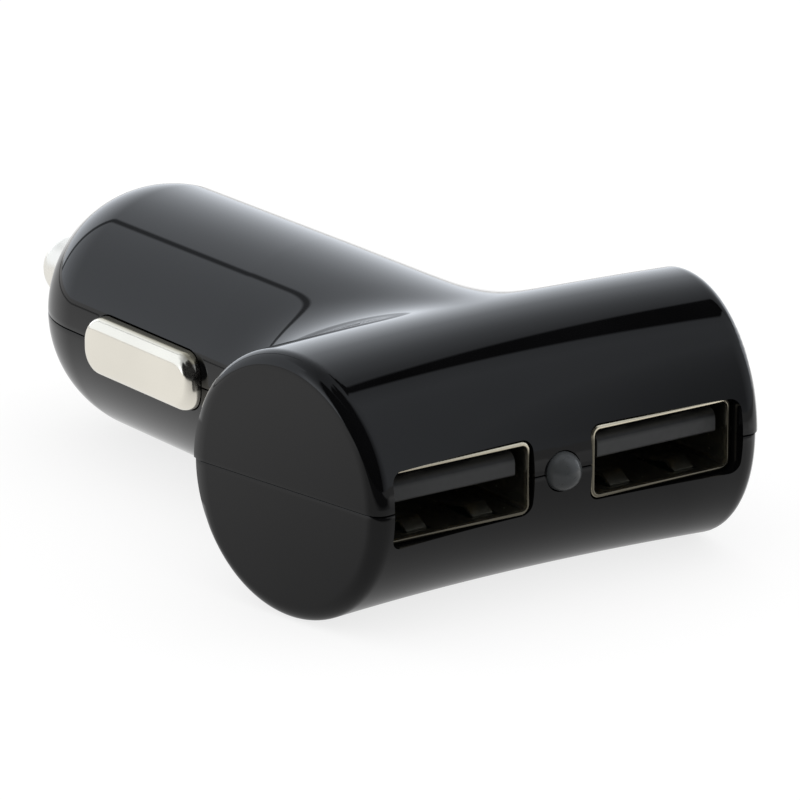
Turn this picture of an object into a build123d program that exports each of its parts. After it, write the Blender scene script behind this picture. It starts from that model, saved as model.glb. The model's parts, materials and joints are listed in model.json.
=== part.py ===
from build123d import *
from math import degrees, sqrt
import os

# A plug for a car's 12 volt socket with two charging ports across its head.
# Millimetres. X runs along the head, +Y along the plug to its tip, +Z up.
# While modelling, the zero point is where the head's axis meets the plug's axis.
# Both housing halves meet on the plane Z = 0, which holds both axes.

# Housing: the barrel sets the size of the bent round bar of the head, which stands a step proud of it
BARREL_RADIUS = 10.1
HEAD_STEP = 0.15
HEAD_RADIUS = BARREL_RADIUS + HEAD_STEP
HEAD_BEND_RADIUS = 133.0
HEAD_END_EDGE = 1.2
HEAD_END_MARGIN = 3.25
# Housing: the barrel and its nose, measured from the head's axis
BARREL_DRAFT = 0.1
NOSE_FRONT = 50.0
NOSE_LENGTH = 8.7
NOSE_RIM = 0.43
JUNCTION_BLEND = 7.5
# Housing: walls, ribs and the joint between the halves
WALL = 1.6
NOSE_WALL = 1.8
LIP_HEIGHT = 0.8
LIP_THICKNESS = 0.7
LIP_GAP = 0.1
PARTING_GROOVE = 0.12
RIB = 1.2
POST_RADIUS = 1.6
POST_PIN_RADIUS = 0.9
POST_PIN_RISE = 3.0
FIT_GAP = 0.1
PART_GAP = 0.5

# Charging ports
PORT_BETWEEN = 5.6
PORT_RECESS = 0.3
PORT_GAP_SIDE = 0.3
PORT_GAP_TOP = 0.15
USB_WIDTH = 13.1
PORT_SPACING = USB_WIDTH + PORT_BETWEEN
USB_HEIGHT = 5.7
USB_LENGTH = 12.2
USB_SHEET = 0.3
USB_CORNER = 0.8
USB_LEG_WIDTH = 1.8
USB_TONGUE_WIDTH = 11.1
USB_TONGUE_THICKNESS = 1.84
USB_TONGUE_DROP = 0.64
USB_TONGUE_RECESS = 0.6
USB_BLOCK_DEPTH = 2.6
USB_PIN_WIDTH = 1.0
USB_PIN_SHEET = 0.25
USB_PIN_PLACES = (-3.5, -1.0, 1.0, 3.5)
FINGER_PLACES = (-3.0, 3.0)
FINGER_WIDTH = 1.8
FINGER_LENGTH = 5.2
FINGER_DIP = 0.5

# Spring-loaded tip
TIP_RADIUS = 2.25
TIP_PROUD = 7.2
TIP_ROUND = 1.2
TIP_FLANGE_RADIUS = 3.6
TIP_FLANGE = 1.2
TIP_SPIGOT_RADIUS = 1.6
TIP_SPIGOT_LENGTH = 3.0
SLIDE_GAP = 0.12
TIP_SPRING_LENGTH = 10.9
TIP_SPRING_RADIUS = 2.2
TIP_SPRING_WIRE = 0.55
TIP_SPRING_TURNS = 8
TERMINAL_SHEET = 0.5
TERMINAL_WIDTH = 6.0
TERMINAL_RISE = 3.0
TERMINAL_TAIL_WIDTH = 3.0
TERMINAL_TAIL_LENGTH = 4.1

# Spring-loaded side contacts
SIDE_TO_NOSE = 19.8
SIDE_SLOT_LENGTH = 15.4
SIDE_SLOT_HEIGHT = 5.1
SIDE_CORNER = 2.2
SIDE_PROUD = 1.0
SIDE_SHEET = 0.45
SIDE_EDGE = 0.5
SIDE_EAR = 1.3
SIDE_EAR_HEIGHT = 4.0
SIDE_TRAVEL = 1.2
LEAF_SHEET = 0.3
LEAF_HEIGHT = 2.2
LEAF_FLAT = 2.6
LEAF_FOOT = 1.6

# Board and what stands on it
BOARD_THICKNESS = 1.2
BOARD_GAP = 0.4
LEAD_BELOW = 0.6
LED_RADIUS = 1.5
LED_PROUD = 0.75
LED_LENGTH = 5.3
LED_FLANGE_RADIUS = 1.9
LED_FLANGE = 1.0
LED_LEAD = 0.5
LED_LEAD_SPACING = 2.54
LED_LEAD_BACK = 1.5
OUTPUT_CAN_RADIUS = 2.5
OUTPUT_CAN_HEIGHT = 7.0
INPUT_CAN_RADIUS = 3.15
INPUT_CAN_HEIGHT = 7.7
CAN_LEAD_RADIUS = 0.25
CHIP_LENGTH = 4.9
CHIP_WIDTH = 3.9
CHIP_HEIGHT = 1.5
CHIP_SPAN = 6.0
CHIP_PITCH = 1.27
CHIP_LEAD = 0.4
COIL_RADIUS = 3.9
COIL_HEIGHT = 6.0
COIL_FLANGE = 1.0
COIL_POST_RADIUS = 2.0
COIL_TURNS = 5
DIODE_SIZE = (2.6, 4.3, 2.1)
RESISTOR_SIZE = (2.0, 1.25, 0.5)
CERAMIC_SIZE = (2.0, 1.25, 0.9)
FUSE_SIZE = (1.6, 3.2, 0.9)

# Places that follow from the sizes above
port_x = PORT_SPACING / 2
head_half = port_x + USB_WIDTH / 2 + HEAD_END_MARGIN
head_inner = HEAD_RADIUS - WALL
barrel_inner = BARREL_RADIUS - WALL
tip_bore = TIP_RADIUS + SLIDE_GAP
nose_flat = tip_bore + NOSE_RIM
nose_start = NOSE_FRONT - NOSE_LENGTH
side_y = NOSE_FRONT - SIDE_TO_NOSE
slot_near = side_y - SIDE_SLOT_LENGTH / 2
slot_far = side_y + SIDE_SLOT_LENGTH / 2
# The barrel's true cylinder lies between the junction's blend and the slots
land_start = HEAD_RADIUS + JUNCTION_BLEND + FIT_GAP * 2.5
land_end = slot_near - FIT_GAP * 3
origin_y = (land_start + land_end) / 2
board_top = -USB_HEIGHT / 2
board_bottom = board_top - BOARD_THICKNESS
usb_front = PORT_RECESS - HEAD_RADIUS
usb_rear = usb_front + USB_LENGTH
tongue_top = USB_HEIGHT / 2 - USB_SHEET - USB_TONGUE_DROP
tongue_bottom = tongue_top - USB_TONGUE_THICKNESS
tail_front = usb_rear + FIT_GAP
# The tip's flange seats in the nose, its spring pushes back on the terminal, and a rib backs that
tip_seat = NOSE_FRONT - NOSE_WALL
spring_front = tip_seat - TIP_FLANGE
terminal_front = spring_front - TIP_SPRING_LENGTH
rib_front = terminal_front - TERMINAL_SHEET
rib_back = rib_front - RIB
rib_half = TERMINAL_WIDTH / 2 + RIB
board_end = rib_back - FIT_GAP * 2
# The side contacts' ears seat on flats inside the barrel's wall
seat_half = SIDE_SLOT_HEIGHT / 2 + BOARD_GAP
side_seat = sqrt(barrel_inner**2 - seat_half**2) - FIT_GAP * 2.5
side_face = BARREL_RADIUS + SIDE_PROUD
side_inside = side_face - SIDE_SHEET
leaf_x = side_seat - SIDE_TRAVEL - SIDE_SHEET - PART_GAP - LEAF_SHEET / 2
leaf_foot_end = slot_near - SIDE_EAR - FIT_GAP * 6
leaf_foot_start = leaf_foot_end - LEAF_FOOT
# What stands along the middle of the board follows in a row from the lamp to the coil
led_back = LED_LENGTH - HEAD_RADIUS - LED_PROUD
led_lead_end = led_back + LED_LEAD_BACK
output_y = led_lead_end + PART_GAP * 2 + OUTPUT_CAN_RADIUS
head_post_y = output_y + OUTPUT_CAN_RADIUS + PART_GAP + POST_RADIUS
chip_y = head_post_y + POST_RADIUS + PART_GAP + CHIP_SPAN / 2
input_y = chip_y + CHIP_SPAN / 2 + PART_GAP + INPUT_CAN_RADIUS
coil_y = input_y + INPUT_CAN_RADIUS + PART_GAP + COIL_RADIUS
barrel_post_x = INPUT_CAN_RADIUS + POST_RADIUS + FIT_GAP * 2
post_places = ((0, head_post_y), (-barrel_post_x, input_y), (barrel_post_x, input_y))
# The board's edges keep clear of the walls at the board's underside
board_depth = sqrt(head_inner**2 - board_bottom**2) - BOARD_GAP
board_half = port_x + USB_WIDTH / 2 + FIT_GAP * 3
head_sag = HEAD_BEND_RADIUS - sqrt(HEAD_BEND_RADIUS**2 - board_half**2)
board_back = board_depth - head_sag
neck_half = sqrt(barrel_inner**2 - board_bottom**2) - BOARD_GAP
side_part_x = CHIP_LENGTH / 2 + PART_GAP * 2 + DIODE_SIZE[0] / 2
can_lead_half = OUTPUT_CAN_RADIUS / 2


def block(x_range, y_range, z_range):
    """Box between three pairs of limits."""
    lows, highs = zip(x_range, y_range, z_range)
    middle = [(low + high) / 2 for low, high in zip(lows, highs)]
    return Pos(*middle) * Box(*[high - low for low, high in zip(lows, highs)])


def column(x, y, z_range, radius):
    """Upright cylinder."""
    low, high = z_range
    return Pos(x, y, (low + high) / 2) * Cylinder(radius, high - low)


def rod(y_range, radius):
    """Cylinder on the plug's axis."""
    low, high = y_range
    return Pos(0, (low + high) / 2, 0) * Rot(90, 0, 0) * Cylinder(radius, high - low)


def bar_along_y(x, width, height, corner, y_range):
    """Rounded rectangle drawn out along Y, centred on the parting plane."""
    low, high = y_range
    plane = Plane((x, high, 0), x_dir=(1, 0, 0), z_dir=(0, -1, 0))
    return extrude(plane * RectangleRounded(width, height, corner), amount=high - low)


def bar_along_x(length, height, corner, x_range):
    """Rounded rectangle drawn out along X, centred on a side contact."""
    low, high = x_range
    plane = Plane((low, side_y, 0), x_dir=(0, 1, 0), z_dir=(1, 0, 0))
    return extrude(plane * RectangleRounded(length, height, corner), amount=high - low)


def both_sides(right):
    """A piece on +X together with its mirror image."""
    return [right, mirror(right, about=Plane.YZ)]


def housing_form(inset):
    """The whole T-shaped form, drawn in by inset on every side."""
    bend = Axis((0, -HEAD_BEND_RADIUS, 0), (0, 0, 1))
    half_turn = degrees((head_half - inset) / HEAD_BEND_RADIUS)
    section = (Plane.YZ * Circle(HEAD_RADIUS - inset)).rotate(bend, -half_turn)
    head = revolve(section, axis=bend, revolution_arc=2 * half_turn)
    if HEAD_END_EDGE > inset:
        rims = [edge for edge in head.edges() if abs(edge.center().X) > head_half / 2]
        head = fillet(rims, HEAD_END_EDGE - inset)
    land_radius = BARREL_RADIUS - inset
    root_radius = land_radius + BARREL_DRAFT / 2
    nose_radius = land_radius - BARREL_DRAFT
    outline = Polyline((0, 0), (root_radius, 0), (land_radius, land_start), (land_radius, land_end))
    outline += Line((land_radius, land_end), (nose_radius, nose_start))
    dome = (nose_radius - nose_flat, NOSE_LENGTH - inset)
    outline += EllipticalCenterArc((nose_flat, nose_start), *dome, start_angle=0, arc_size=90)
    outline += Polyline((nose_flat, NOSE_FRONT - inset), (0, NOSE_FRONT - inset), (0, 0))
    barrel = revolve(make_face(outline), axis=Axis.Y)
    form = head + barrel
    return fillet(new_edges(head, barrel, combined=form), JUNCTION_BLEND + inset)


def slab(low, high):
    """Everything between two heights."""
    reach = 4 * NOSE_FRONT
    return block((-reach, reach), (-reach, reach), (low, high))


def openings():
    """Ports, lamp hole, tip bore with the flange's seat, and the side contacts' slots."""
    ahead = HEAD_RADIUS + 2 * WALL
    port = (USB_WIDTH + 2 * PORT_GAP_SIDE, USB_HEIGHT + 2 * PORT_GAP_TOP, USB_CORNER + FIT_GAP * 2)
    right_port = bar_along_y(port_x, *port, (-ahead, usb_front + 2 * WALL))
    slot = (SIDE_SLOT_LENGTH, SIDE_SLOT_HEIGHT, SIDE_CORNER)
    right_slot = bar_along_x(*slot, (side_seat - SIDE_TRAVEL, side_face + WALL))
    cuts = both_sides(right_port) + both_sides(right_slot)
    cuts.append(rod((-ahead, -head_inner + WALL), LED_RADIUS + FIT_GAP))
    cuts.append(rod((tip_seat - WALL, NOSE_FRONT + WALL), tip_bore))
    cuts.append(rod((spring_front - WALL, tip_seat), TIP_FLANGE_RADIUS + FIT_GAP * 3))
    return cuts


def side_flats():
    """Flats inside the barrel's wall, on which the side contacts' ears seat."""
    ends = (slot_near - SIDE_EAR - RIB / 2, slot_far + SIDE_EAR + RIB / 2)
    return both_sides(block((side_seat, BARREL_RADIUS), ends, (-seat_half, seat_half)))


def lower_ribs():
    """Rib behind the terminal, notched for its tail, with the board's supports and posts."""
    floor = -2 * HEAD_RADIUS
    backing = block((-rib_half, rib_half), (rib_back, rib_front), (floor, -PARTING_GROOVE * 2))
    notch_half = TERMINAL_TAIL_WIDTH / 2 + FIT_GAP * 2
    notch = block((-notch_half, notch_half), (rib_back, rib_front), (board_top - FIT_GAP, 0))
    ribs = side_flats() + [backing - notch]
    wing_x = port_x + (USB_PIN_PLACES[0] + USB_PIN_PLACES[1]) / 2
    wing = block((wing_x - RIB / 2, wing_x + RIB / 2), (-board_depth, board_back), (floor, board_bottom))
    ribs += both_sides(wing)
    ribs.append(block((-neck_half, neck_half), (coil_y - RIB / 2, coil_y + RIB / 2), (floor, board_bottom)))
    ribs += [column(x, y, (floor, board_bottom), POST_RADIUS) for x, y in post_places]
    return ribs


def upper_ribs():
    """The upper half of the rib behind the terminal."""
    backing = block((-rib_half, rib_half), (rib_back, rib_front), (PARTING_GROOVE * 2, 2 * HEAD_RADIUS))
    return side_flats() + [backing]


def lower_shell():
    """Lower half, with its raised lip inside the joint and the pins through the board."""
    shell = housing_form(0) & slab(-2 * HEAD_RADIUS, 0)
    shell -= housing_form(WALL) - lower_ribs()
    lip = housing_form(WALL - LIP_THICKNESS) - housing_form(WALL)
    shell += lip & slab(-LIP_HEIGHT, LIP_HEIGHT)
    groove = housing_form(0) - housing_form(PARTING_GROOVE)
    shell -= groove & slab(-PARTING_GROOVE, PARTING_GROOVE)
    shell -= openings()
    pin_top = board_top + POST_PIN_RISE
    return shell + [column(x, y, (board_bottom - RIB, pin_top), POST_PIN_RADIUS) for x, y in post_places]


def upper_shell():
    """Upper half, rebated for the lip, with tubes that hold the board down over the pins."""
    shell = housing_form(0) & slab(0, 2 * HEAD_RADIUS)
    shell -= housing_form(WALL) - upper_ribs()
    rebate = housing_form(WALL - LIP_THICKNESS - LIP_GAP) - housing_form(WALL + LIP_GAP)
    shell -= rebate & slab(-LIP_GAP, LIP_HEIGHT + LIP_GAP)
    shell -= openings()
    tubes = [column(x, y, (board_top, 2 * HEAD_RADIUS), POST_RADIUS) for x, y in post_places]
    within = housing_form(WALL / 2)
    shell += [tube & within for tube in tubes]
    bore_top = board_top + POST_PIN_RISE + FIT_GAP
    bore = POST_PIN_RADIUS + FIT_GAP
    return shell - [column(x, y, (board_top - RIB, bore_top), bore) for x, y in post_places]


def tip_contact():
    """Turned pin with a rounded end, a flange that stops it in the nose and a spigot for its spring."""
    end = NOSE_FRONT + TIP_PROUD
    spigot_end = spring_front - TIP_SPIGOT_LENGTH
    outline = Polyline((0, end), (0, spigot_end), (TIP_SPIGOT_RADIUS, spigot_end))
    outline += Polyline(
        (TIP_SPIGOT_RADIUS, spigot_end),
        (TIP_SPIGOT_RADIUS, spring_front),
        (TIP_FLANGE_RADIUS, spring_front),
        (TIP_FLANGE_RADIUS, tip_seat),
        (TIP_RADIUS, tip_seat),
        (TIP_RADIUS, end - TIP_ROUND),
    )
    outline += RadiusArc((TIP_RADIUS, end - TIP_ROUND), (TIP_RADIUS - TIP_ROUND, end), -TIP_ROUND)
    outline += Line((TIP_RADIUS - TIP_ROUND, end), (0, end))
    return revolve(make_face(outline), axis=Axis.Y)


def tip_spring():
    """Coil with its ends ground flat, between the tip's flange and the terminal. The wire is six-sided."""
    ground = TIP_SPRING_WIRE / 6
    height = TIP_SPRING_LENGTH + 2 * ground
    path = Helix(height / TIP_SPRING_TURNS, height, TIP_SPRING_RADIUS)
    section = Plane(path @ 0, z_dir=path % 0) * RegularPolygon(TIP_SPRING_WIRE / 2, 6)
    coil = sweep(section, path=path, is_frenet=True)
    coil = Pos(0, spring_front + ground, 0) * Rot(90, 0, 0) * coil
    reach = 2 * TIP_SPRING_RADIUS
    return coil & block((-reach, reach), (terminal_front, spring_front), (-reach, reach))


def positive_terminal():
    """Bent strip: an upright plate behind the spring, and a tail soldered flat on the board."""
    half, tail_half = TERMINAL_WIDTH / 2, TERMINAL_TAIL_WIDTH / 2
    plate = block((-half, half), (rib_front, terminal_front), (board_top, TERMINAL_RISE))
    tail_start = rib_front - TERMINAL_TAIL_LENGTH
    tail_top = board_top + TERMINAL_SHEET
    tail = block((-tail_half, tail_half), (tail_start, terminal_front), (board_top, tail_top))
    nib_radius = TIP_SPRING_RADIUS - TIP_SPRING_WIRE - FIT_GAP
    return plate + tail + rod((rib_front, terminal_front + TERMINAL_SHEET), nib_radius)


def side_contact():
    """Drawn cap with rounded edges, open behind, and an ear at each end that keeps it in the slot."""
    length = SIDE_SLOT_LENGTH - 2 * SLIDE_GAP
    height = SIDE_SLOT_HEIGHT - 2 * SLIDE_GAP
    corner = SIDE_CORNER - SLIDE_GAP
    back = side_seat - SIDE_SHEET
    cap = bar_along_x(length, height, corner, (back, side_face))
    cap = fillet(cap.faces().sort_by(Axis.X)[-1].edges(), SIDE_EDGE)
    hollow = (length - 2 * SIDE_SHEET, height - 2 * SIDE_SHEET, corner - SIDE_SHEET)
    cap -= bar_along_x(*hollow, (back, side_inside))
    ear_half = SIDE_EAR_HEIGHT / 2
    for end in (-1, 1):
        reach = sorted((side_y + end * (length / 2 - SIDE_SHEET), side_y + end * (length / 2 + SIDE_EAR)))
        cap += block((back, side_seat), reach, (-ear_half, ear_half)) - bar_along_x(*hollow, (back, side_seat))
    return cap


def side_spring():
    """Leaf on a foot soldered to the board, bowed out to press on the cap's inside."""
    crest_x = side_inside - LEAF_SHEET / 2
    crest = (side_y - LEAF_FLAT / 2, side_y + LEAF_FLAT / 2)
    run = crest_x - leaf_x
    points = [(leaf_x, leaf_foot_start), (leaf_x, leaf_foot_end), (crest_x, crest[0])]
    points += [(crest_x, crest[1]), (crest_x - run / 4, crest[1] + run / 4)]
    strip = trace(FilletPolyline(*points, radius=2 * LEAF_SHEET), line_width=LEAF_SHEET)
    leaf = Pos(0, 0, -LEAF_HEIGHT / 2) * extrude(strip, amount=LEAF_HEIGHT)
    foot_x = (leaf_x - LEAF_SHEET / 2, leaf_x + LEAF_SHEET / 2)
    foot_end = leaf_foot_end - 2 * LEAF_SHEET
    return leaf + block(foot_x, (leaf_foot_start, foot_end), (board_top, LEAF_HEIGHT / 2))


def usb_shell():
    """Folded sheet tube with four sprung fingers and a solder leg on each side."""
    span = (usb_front, usb_rear)
    past = (usb_front - USB_SHEET, usb_rear + USB_SHEET)
    inner = (USB_WIDTH - 2 * USB_SHEET, USB_HEIGHT - 2 * USB_SHEET, USB_CORNER - USB_SHEET)
    shell = bar_along_y(port_x, USB_WIDTH, USB_HEIGHT, USB_CORNER, span) - bar_along_y(port_x, *inner, past)
    top = USB_HEIGHT / 2
    root = usb_front + FINGER_LENGTH + 4 * USB_SHEET
    dip = usb_front + 7 * USB_SHEET
    end = usb_front + 5 * USB_SHEET
    window_half = FINGER_WIDTH / 2 + USB_SHEET
    bent = [(root, 0), (dip, FINGER_DIP), (end, FINGER_DIP / 2)]
    bent += [(y, drop + USB_SHEET) for y, drop in reversed(bent)]
    for place in FINGER_PLACES:
        x = port_x + place
        plane = Plane((x - FINGER_WIDTH / 2, 0, 0), x_dir=(0, 1, 0), z_dir=(1, 0, 0))
        for side in (-1, 1):
            opening = sorted((side * (top - 2 * USB_SHEET), side * (top + USB_SHEET)))
            start = usb_front + 3 * USB_SHEET
            shell -= block((x - window_half, x + window_half), (start, root - USB_SHEET), opening)
            line = Polyline([(y, side * (top - drop)) for y, drop in bent], close=True)
            shell += extrude(plane * make_face(line), amount=FINGER_WIDTH)
    for edge in (-1, 1):
        leg_x = sorted((port_x + edge * USB_WIDTH / 2, port_x + edge * (USB_WIDTH / 2 - USB_SHEET)))
        leg_y = ((usb_front + usb_rear) / 2, (usb_front + usb_rear) / 2 + USB_LEG_WIDTH)
        shell += block(leg_x, leg_y, (board_bottom - LEAD_BELOW, 0))
    return shell


def usb_insulator():
    """Moulded block at the back of the port with the tongue that carries the pins."""
    height = USB_HEIGHT - 2 * USB_SHEET
    width = USB_WIDTH - 2 * USB_SHEET - FIT_GAP
    rear = bar_along_y(port_x, width, height, USB_CORNER, (usb_rear - USB_BLOCK_DEPTH, usb_rear))
    half = USB_TONGUE_WIDTH / 2
    reach = (usb_front + USB_TONGUE_RECESS, usb_rear)
    tongue = block((port_x - half, port_x + half), reach, (tongue_bottom, tongue_top))
    nose = tongue.edges().group_by(Axis.Y)[0].filter_by(Axis.X)
    tongue = chamfer(nose, USB_PIN_SHEET)
    return rear + tongue - usb_pins()


def usb_pins():
    """Four flat contacts under the tongue, bent down at the back through the board."""
    pins = []
    for place in USB_PIN_PLACES:
        x = (port_x + place - USB_PIN_WIDTH / 2, port_x + place + USB_PIN_WIDTH / 2)
        outer = abs(place) > USB_TONGUE_WIDTH / 4
        start = usb_front + USB_TONGUE_RECESS + (USB_PIN_WIDTH if outer else 2 * USB_PIN_WIDTH)
        level = (tongue_bottom - USB_PIN_SHEET, tongue_bottom)
        blade = block(x, (start, tail_front + USB_PIN_SHEET), level)
        tail = block(x, (tail_front, tail_front + USB_PIN_SHEET), (board_bottom - LEAD_BELOW, tongue_bottom))
        pins.append(blade + tail)
    return pins


def status_led():
    """Round lamp with a domed end and a rim, between the ports."""
    tip = -HEAD_RADIUS - LED_PROUD
    rim_front = led_back - LED_FLANGE
    outline = RadiusArc((0, tip), (LED_RADIUS, tip + LED_RADIUS), -LED_RADIUS)
    outline += Polyline(
        (LED_RADIUS, tip + LED_RADIUS),
        (LED_RADIUS, rim_front),
        (LED_FLANGE_RADIUS, rim_front),
        (LED_FLANGE_RADIUS, led_back),
        (0, led_back),
        (0, tip),
    )
    return revolve(make_face(outline), axis=Axis.Y)


def led_leads():
    """Two square leads, back from the lamp and down through the board."""
    half = LED_LEAD / 2
    x = (LED_LEAD_SPACING / 2 - half, LED_LEAD_SPACING / 2 + half)
    back = block(x, (led_back, led_lead_end), (-half, half))
    down = block(x, (led_lead_end - LED_LEAD, led_lead_end), (board_bottom - LEAD_BELOW, half))
    return both_sides(back + down)


def circuit_board():
    """T-shaped board with holes for the posts' pins and for every lead."""
    level = (board_bottom, board_top)
    through = (board_bottom - RIB, board_top + RIB)
    board = block((-board_half, board_half), (-board_depth, board_back), level)
    board += block((-neck_half, neck_half), (0, board_end), level)
    hole = POST_PIN_RADIUS + FIT_GAP
    holes = [column(x, y, through, hole) for x, y in post_places]
    tail_y = tail_front + USB_PIN_SHEET / 2
    tail_hole = sqrt(USB_PIN_WIDTH**2 + USB_PIN_SHEET**2) / 2 + FIT_GAP / 2
    for place in USB_PIN_PLACES:
        holes += both_sides(column(port_x + place, tail_y, through, tail_hole))
    leg_y = (usb_front + usb_rear + USB_LEG_WIDTH) / 2
    leg_half = USB_LEG_WIDTH / 2 + FIT_GAP
    for edge in (-1, 1):
        leg_x = port_x + edge * (USB_WIDTH - USB_SHEET) / 2
        x = (leg_x - USB_SHEET / 2 - FIT_GAP, leg_x + USB_SHEET / 2 + FIT_GAP)
        holes += both_sides(block(x, (leg_y - leg_half, leg_y + leg_half), through))
    lamp_hole = LED_LEAD * sqrt(2) / 2 + FIT_GAP / 2
    holes += both_sides(column(LED_LEAD_SPACING / 2, led_lead_end - LED_LEAD / 2, through, lamp_hole))
    for y in (output_y, input_y):
        holes += both_sides(column(can_lead_half, y, through, CAN_LEAD_RADIUS + FIT_GAP))
    return board - holes


def capacitor(y, radius, height):
    """Upright can with a crimp ring near its base, a sloped top edge and two leads."""
    base = board_top
    ring = base + radius / 2
    dent = radius / 10
    outline = Polyline((0, base), (radius, base), (radius, ring - dent), (radius - dent, ring))
    outline += Polyline((radius - dent, ring), (radius, ring + dent), (radius, base + height - 2 * dent))
    outline += Line((radius, base + height - 2 * dent), (radius - 2 * dent, base + height))
    outline += Polyline((radius - 2 * dent, base + height), (0, base + height), (0, base))
    can = Pos(0, y, 0) * revolve(make_face(Plane.XZ * outline), axis=Axis.Z)
    return can + both_sides(column(can_lead_half, y, (board_bottom - LEAD_BELOW, base + dent), CAN_LEAD_RADIUS))


def converter_chip():
    """Eight-lead package with bent leads along both long sides."""
    lift = FIT_GAP
    half, wide = CHIP_LENGTH / 2, CHIP_WIDTH / 2
    chip = block((-half, half), (chip_y - wide, chip_y + wide), (board_top + lift, board_top + CHIP_HEIGHT))
    sheet = CHIP_LEAD / 2
    shoulder = board_top + CHIP_HEIGHT / 2
    foot, knee = CHIP_SPAN / 2, (CHIP_SPAN / 2 + wide) / 2
    bent = [(0, shoulder), (knee, shoulder), (knee, board_top), (foot, board_top)]
    bent += [(foot, board_top + sheet), (knee + sheet, board_top + sheet)]
    bent += [(knee + sheet, shoulder + sheet), (0, shoulder + sheet)]
    for index in range(4):
        x = (index - 1.5) * CHIP_PITCH
        plane = Plane((x - CHIP_LEAD / 2, chip_y, 0), x_dir=(0, 1, 0), z_dir=(1, 0, 0))
        for side in (-1, 1):
            line = Polyline([(side * y, z) for y, z in bent], close=True)
            chip += extrude(plane * make_face(line), amount=CHIP_LEAD)
    return chip


def inductor_core():
    """Drum of ferrite: two flanges on a post."""
    top = board_top + COIL_HEIGHT
    low = column(0, coil_y, (board_top, board_top + COIL_FLANGE), COIL_RADIUS)
    high = column(0, coil_y, (top - COIL_FLANGE, top), COIL_RADIUS)
    return low + high + column(0, coil_y, (board_top, top), COIL_POST_RADIUS)


def inductor_winding():
    """Wire wound on the drum, shown by its outer turns."""
    low = board_top + COIL_FLANGE
    pitch = (COIL_HEIGHT - 2 * COIL_FLANGE) / COIL_TURNS
    inner = COIL_POST_RADIUS + FIT_GAP
    outer = COIL_RADIUS - pitch
    outline = Line((inner, low), (outer, low))
    for turn in range(COIL_TURNS):
        z = low + turn * pitch
        crest = outer + pitch / 2
        outline += Polyline((outer, z), (crest, z + pitch / 4), (crest, z + pitch * 3 / 4), (outer, z + pitch))
    high = low + COIL_TURNS * pitch
    outline += Polyline((outer, high), (inner, high), (inner, low))
    return Pos(0, coil_y, 0) * revolve(make_face(Plane.XZ * outline), axis=Axis.Z)


def end_capped(x, y, size, along_y):
    """Small surface-mount part: a body with a slightly larger metal cap at each end."""
    length, width, height = size
    cap = length / 5
    step = height / 10
    body = block((-length / 2, length / 2), (step - width / 2, width / 2 - step), (step, height - step))
    for end in (-1, 1):
        span = sorted((end * length / 2, end * (length / 2 - cap)))
        body += block(span, (-width / 2, width / 2), (0, height))
    return Pos(x, y, board_top) * Rot(0, 0, 90 if along_y else 0) * body


def rectifier_diode():
    """Moulded block with sloped sides and a flat tab at each end."""
    width, length, height = DIODE_SIZE
    tab = height / 8
    base = Plane((-side_part_x, chip_y, board_top + tab)) * Rectangle(width, length)
    body = extrude(base, amount=height - tab, taper=5)
    tab_x = (-side_part_x - width / 4, -side_part_x + width / 4)
    reach = length / 2 + 2 * tab
    return body + block(tab_x, (chip_y - reach, chip_y + reach), (board_top, board_top + tab))


def chip_resistors():
    """Three resistors beside the chip."""
    step = RESISTOR_SIZE[1] + PART_GAP
    return [end_capped(side_part_x, chip_y + step * row, RESISTOR_SIZE, False) for row in (-1, 0, 1)]


def chip_capacitors():
    """One ceramic capacitor behind each port."""
    y = tail_front + USB_PIN_SHEET + PART_GAP * 2 + CERAMIC_SIZE[1] / 2
    return [end_capped(x, y, CERAMIC_SIZE, False) for x in (-port_x, port_x)]


def input_fuse():
    """Fuse beside the terminal's tail."""
    width, length, height = FUSE_SIZE
    x = TERMINAL_TAIL_WIDTH / 2 + PART_GAP + width / 2
    y = rib_back - FIT_GAP * 2 - PART_GAP - length / 2
    return end_capped(x, y, (length, width, height), True)


def as_list(shape):
    """The separate solids of a piece."""
    if isinstance(shape, (list, tuple)):
        return [solid for item in shape for solid in as_list(item)]
    return list(shape.solids())


def mirrored(shape):
    """The same piece on -X."""
    return [mirror(solid, about=Plane.YZ) for solid in as_list(shape)]


def all_nodes():
    """Every piece by its name, in the modelling frame."""
    nodes = {"upper_shell": upper_shell(), "lower_shell": lower_shell()}
    nodes["tip_contact"] = tip_contact()
    nodes["tip_spring"] = tip_spring()
    nodes["positive_terminal"] = positive_terminal()
    handed = {
        "side_contact": side_contact,
        "side_spring": side_spring,
        "usb_shell": usb_shell,
        "usb_insulator": usb_insulator,
        "usb_pins": usb_pins,
    }
    for name, make in handed.items():
        right = make()
        nodes[name + "_right"] = right
        nodes[name + "_left"] = mirrored(right)
    nodes["status_led"] = status_led()
    nodes["led_leads"] = led_leads()
    nodes["circuit_board"] = circuit_board()
    nodes["output_capacitor"] = capacitor(output_y, OUTPUT_CAN_RADIUS, OUTPUT_CAN_HEIGHT)
    nodes["input_capacitor"] = capacitor(input_y, INPUT_CAN_RADIUS, INPUT_CAN_HEIGHT)
    nodes["converter_chip"] = converter_chip()
    nodes["inductor_core"] = inductor_core()
    nodes["inductor_winding"] = inductor_winding()
    nodes["rectifier_diode"] = rectifier_diode()
    nodes["chip_resistors"] = chip_resistors()
    nodes["chip_capacitors"] = chip_capacitors()
    nodes["input_fuse"] = input_fuse()
    return nodes


def main():
    """Write each piece with the origin on the plug's axis, in the middle of the barrel's plain land."""
    os.makedirs("parts", exist_ok=True)
    to_origin = Pos(0, -origin_y, 0)
    for name, shape in all_nodes().items():
        solids = [to_origin * solid for solid in as_list(shape)]
        export_step(solids[0] if len(solids) == 1 else Compound(solids), f"parts/{name}.step")


if __name__ == "__main__":
    main()
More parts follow.
